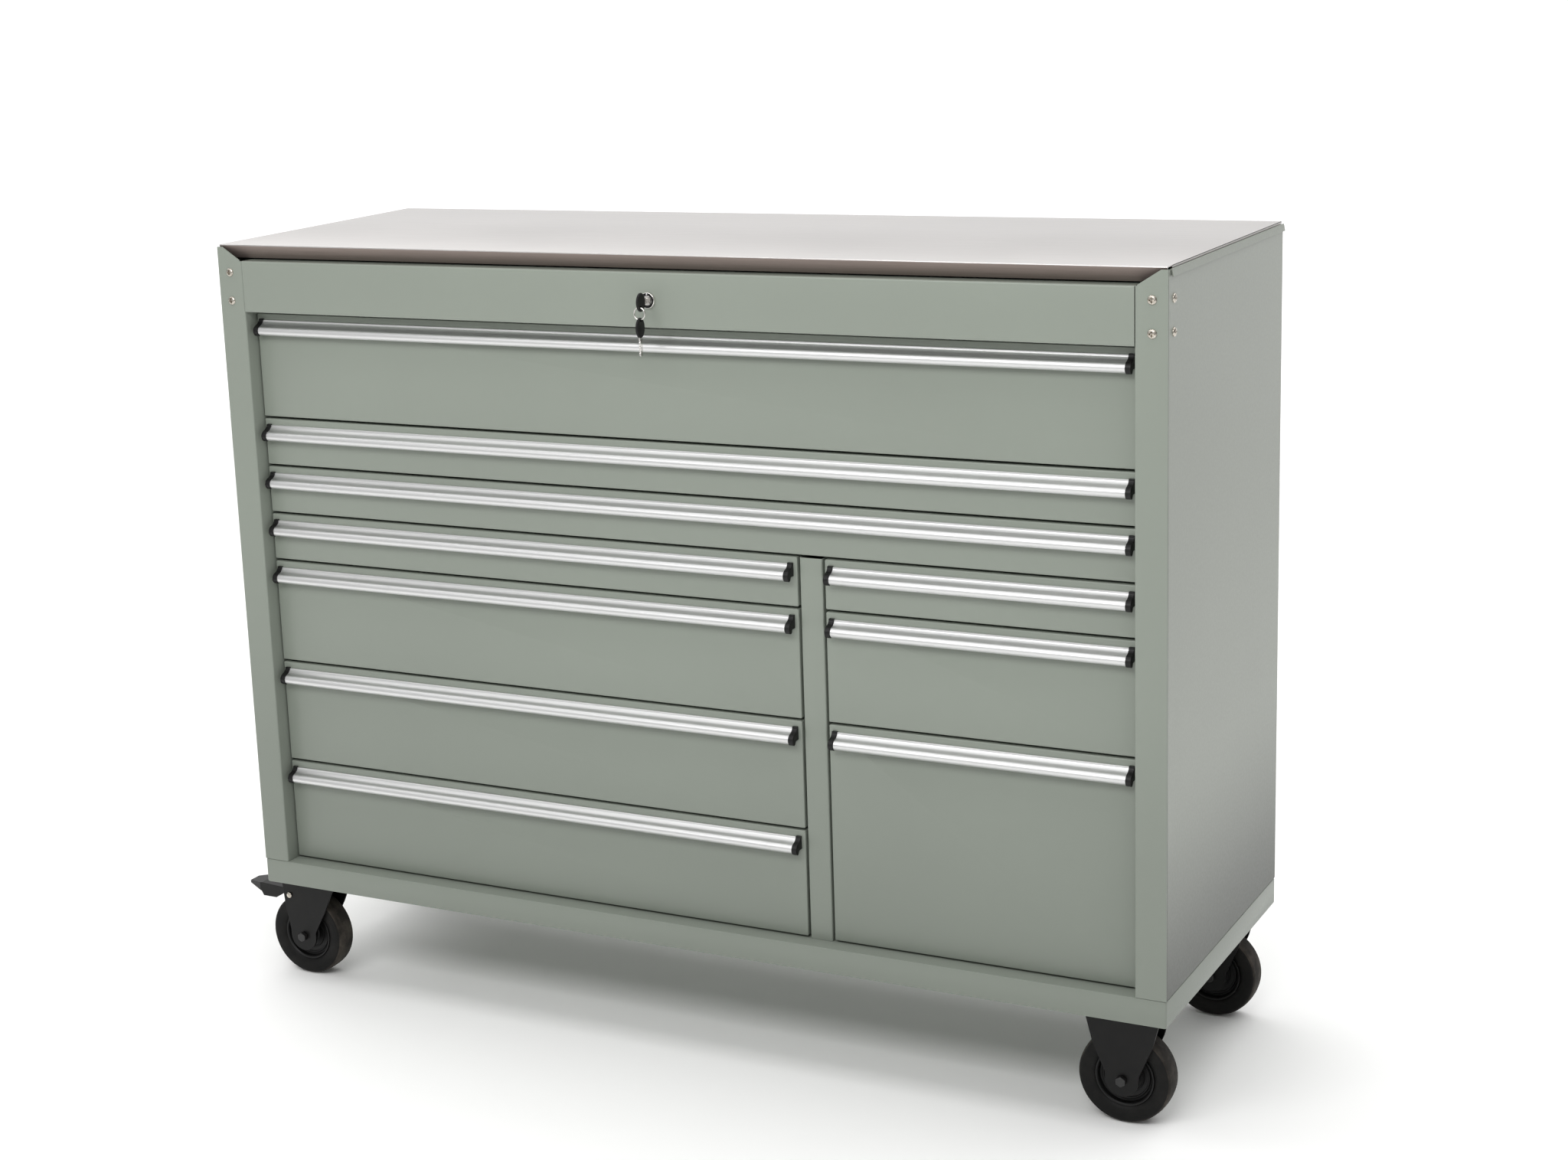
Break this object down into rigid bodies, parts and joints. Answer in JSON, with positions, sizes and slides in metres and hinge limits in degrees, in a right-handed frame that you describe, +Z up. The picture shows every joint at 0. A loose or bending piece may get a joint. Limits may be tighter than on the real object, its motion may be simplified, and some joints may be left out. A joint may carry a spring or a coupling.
{
  "type": "rolling tool chest",
  "caption": "Wide steel tool chest with full-width and side-by-side drawers under a steel worktop, hooked aluminium pulls, a keyed lock, and fixed and braked swivel casters.",
  "frame": {"origin": "middle of the underside of the bounding box, on the floor the casters stand on", "axes": "+Z up, +X along the chest's width to the viewer's right, drawers face and open towards -Y"},
  "size_m": [1.4892, 0.519, 1.1299],
  "materials": {
    "cabinet_paint": "satin grey-green powder coat",
    "stainless_steel": "satin stainless sheet",
    "satin_aluminium": "satin anodised extrusion",
    "zinc_steel": "zinc-plated pressed steel",
    "black_steel": "black coated pressed steel",
    "black_plastic": "black moulded plastic",
    "tyre_rubber": "dusty black rubber",
    "lock_chrome": "polished plating"
  },
  "bodies": {
    "cabinet": {"base_plinth": "cabinet_paint", "post_left": "cabinet_paint", "post_right": "cabinet_paint", "side_panel_left": "cabinet_paint", "side_panel_right": "cabinet_paint", "back_panel": "cabinet_paint", "header_panel": "cabinet_paint", "divider": "cabinet_paint", "worktop": "stainless_steel", "rack_left": "zinc_steel", "rack_right": "zinc_steel", "rack_divider_left": "zinc_steel", "rack_divider_right": "zinc_steel", "fork_front_right": "black_steel", "axle_front_right": "black_steel", "fork_rear_right": "black_steel", "axle_rear_right": "black_steel", "swivel_plate_front_left": "black_steel", "swivel_plate_rear_left": "black_steel", "lock_barrel": "lock_chrome"},
    "drawer_top": {"drawer_top": "cabinet_paint", "pull_top": "satin_aluminium"},
    "drawer_wide_upper": {"drawer_wide_upper": "cabinet_paint", "pull_wide_upper": "satin_aluminium"},
    "drawer_wide_lower": {"drawer_wide_lower": "cabinet_paint", "pull_wide_lower": "satin_aluminium"},
    "drawer_left_shallow": {"drawer_left_shallow": "cabinet_paint", "pull_left_shallow": "satin_aluminium"},
    "drawer_left_upper": {"drawer_left_upper": "cabinet_paint", "pull_left_upper": "satin_aluminium"},
    "drawer_left_middle": {"drawer_left_middle": "cabinet_paint", "pull_left_middle": "satin_aluminium"},
    "drawer_left_bottom": {"drawer_left_bottom": "cabinet_paint", "pull_left_bottom": "satin_aluminium"},
    "drawer_right_shallow": {"drawer_right_shallow": "cabinet_paint", "pull_right_shallow": "satin_aluminium"},
    "drawer_right_middle": {"drawer_right_middle": "cabinet_paint", "pull_right_middle": "satin_aluminium"},
    "drawer_right_tall": {"drawer_right_tall": "cabinet_paint", "pull_right_tall": "satin_aluminium"},
    "wheel_front_right": {"tyre_front_right": "tyre_rubber", "rim_front_right": "black_plastic"},
    "wheel_rear_right": {"tyre_rear_right": "tyre_rubber", "rim_rear_right": "black_plastic"},
    "wheel_front_left": {"tyre_front_left": "tyre_rubber", "rim_front_left": "black_plastic"},
    "wheel_rear_left": {"tyre_rear_left": "tyre_rubber", "rim_rear_left": "black_plastic"},
    "swivel_front_left": {"fork_front_left": "black_steel", "axle_front_left": "black_steel"},
    "brake_front_left": {"brake_pedal_front_left": "black_plastic"},
    "swivel_rear_left": {"fork_rear_left": "black_steel", "axle_rear_left": "black_steel"},
    "brake_rear_left": {"brake_pedal_rear_left": "black_plastic"},
    "lock_plug": {"lock_plug": "lock_chrome", "lock_rod": "zinc_steel"},
    "lock_bar": {"lock_bar": "zinc_steel"},
    "key": {"key": "black_plastic"},
    "key_ring": {"key_ring": "lock_chrome"}
  },
  "joints": [
    {"name": "drawer_top_slide", "type": "slide", "parent": "cabinet", "child": "drawer_top", "axis": [0, -1, 0], "range_m": [0, 0.33]},
    {"name": "drawer_wide_upper_slide", "type": "slide", "parent": "cabinet", "child": "drawer_wide_upper", "axis": [0, -1, 0], "range_m": [0, 0.33]},
    {"name": "drawer_wide_lower_slide", "type": "slide", "parent": "cabinet", "child": "drawer_wide_lower", "axis": [0, -1, 0], "range_m": [0, 0.33]},
    {"name": "drawer_left_shallow_slide", "type": "slide", "parent": "cabinet", "child": "drawer_left_shallow", "axis": [0, -1, 0], "range_m": [0, 0.33]},
    {"name": "drawer_left_upper_slide", "type": "slide", "parent": "cabinet", "child": "drawer_left_upper", "axis": [0, -1, 0], "range_m": [0, 0.33]},
    {"name": "drawer_left_middle_slide", "type": "slide", "parent": "cabinet", "child": "drawer_left_middle", "axis": [0, -1, 0], "range_m": [0, 0.33]},
    {"name": "drawer_left_bottom_slide", "type": "slide", "parent": "cabinet", "child": "drawer_left_bottom", "axis": [0, -1, 0], "range_m": [0, 0.33]},
    {"name": "drawer_right_shallow_slide", "type": "slide", "parent": "cabinet", "child": "drawer_right_shallow", "axis": [0, -1, 0], "range_m": [0, 0.33]},
    {"name": "drawer_right_middle_slide", "type": "slide", "parent": "cabinet", "child": "drawer_right_middle", "axis": [0, -1, 0], "range_m": [0, 0.33]},
    {"name": "drawer_right_tall_slide", "type": "slide", "parent": "cabinet", "child": "drawer_right_tall", "axis": [0, -1, 0], "range_m": [0, 0.33]},
    {"name": "wheel_front_right_spin", "type": "hinge", "parent": "cabinet", "child": "wheel_front_right", "pos_m": [0.6744, -0.1745, 0.0635], "axis": [0, 1, 0], "continuous": true},
    {"name": "wheel_rear_right_spin", "type": "hinge", "parent": "cabinet", "child": "wheel_rear_right", "pos_m": [0.6744, 0.2055, 0.0635], "axis": [0, 1, 0], "continuous": true},
    {"name": "swivel_front_left_turn", "type": "hinge", "parent": "cabinet", "child": "swivel_front_left", "pos_m": [-0.6076, -0.1745, 0.0635], "axis": [0, 0, 1], "continuous": true},
    {"name": "wheel_front_left_spin", "type": "hinge", "parent": "swivel_front_left", "child": "wheel_front_left", "pos_m": [-0.6376, -0.1745, 0.0635], "axis": [0, 1, 0], "continuous": true},
    {"name": "brake_front_left_press", "type": "hinge", "parent": "swivel_front_left", "child": "brake_front_left", "pos_m": [-0.6586, -0.1745, 0.1275], "axis": [0, 1, 0], "range_deg": [-15, 0]},
    {"name": "swivel_rear_left_turn", "type": "hinge", "parent": "cabinet", "child": "swivel_rear_left", "pos_m": [-0.6076, 0.2055, 0.0635], "axis": [0, 0, 1], "continuous": true},
    {"name": "wheel_rear_left_spin", "type": "hinge", "parent": "swivel_rear_left", "child": "wheel_rear_left", "pos_m": [-0.6376, 0.2055, 0.0635], "axis": [0, 1, 0], "continuous": true},
    {"name": "brake_rear_left_press", "type": "hinge", "parent": "swivel_rear_left", "child": "brake_rear_left", "pos_m": [-0.6586, 0.2055, 0.1275], "axis": [0, 1, 0], "range_deg": [-15, 0]},
    {"name": "lock_plug_turn", "type": "hinge", "parent": "cabinet", "child": "lock_plug", "pos_m": [0.0334, -0.2285, 1.0696], "axis": [0, 1, 0], "range_deg": [0, 90]},
    {"name": "lock_bar_drop", "type": "slide", "parent": "cabinet", "child": "lock_bar", "axis": [0, 0, -1], "range_m": [0, 0.01]},
    {"name": "key_pull", "type": "slide", "parent": "lock_plug", "child": "key", "axis": [0, -1, 0], "range_m": [0, 0.024]},
    {"name": "key_ring_swing", "type": "hinge", "parent": "key", "child": "key_ring", "pos_m": [0.0334, -0.2535, 1.0636], "axis": [1, 0, 0], "range_deg": [-30, 8]}
  ],
  "couplings": [
    {"joint": "lock_plug_turn", "follows": "lock_bar_drop", "rad_per_m": 157.07}
  ]
}
